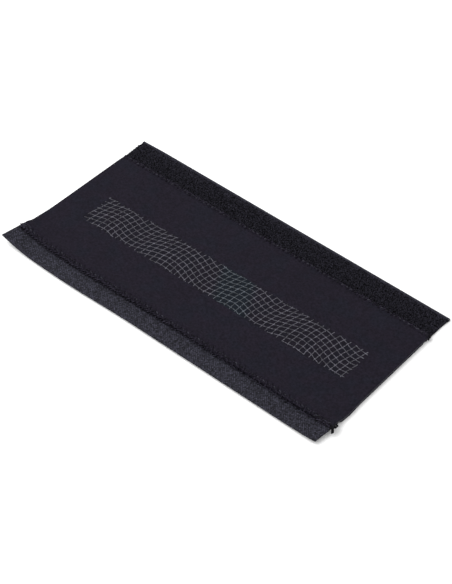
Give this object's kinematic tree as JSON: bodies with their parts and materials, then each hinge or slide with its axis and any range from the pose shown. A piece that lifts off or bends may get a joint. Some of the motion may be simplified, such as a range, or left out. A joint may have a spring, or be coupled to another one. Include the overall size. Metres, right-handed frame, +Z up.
{
  "type": "chainstay protector",
  "caption": "Neoprene wrap that guards a bicycle's chainstay, laid flat, with hook and loop tapes sewn along its long edges and a printed net.",
  "frame": {"origin": "middle of the footprint, on the surface that the guard lies on", "axes": "+X along the guard, +Y from the hook tape to the loop tape, +Z up out of the printed face"},
  "size_m": [0.2552, 0.1362, 0.0095],
  "materials": {
    "jersey": "fine knitted jersey over neoprene foam, matt",
    "tape_weave": "plain woven nylon tape, matt grey",
    "loop_pile": "brushed loop pile, matt black",
    "thread": "spun sewing thread, slightly glossy",
    "print_ink": "thin raised grey screen print, satin"
  },
  "bodies": {
    "root": {"neoprene_panel": "jersey", "hook_tape": "tape_weave", "loop_tape": "loop_pile", "hook_seam_thread": "thread", "loop_seam_thread": "thread", "net_print": "print_ink"}
  },
  "joints": []
}
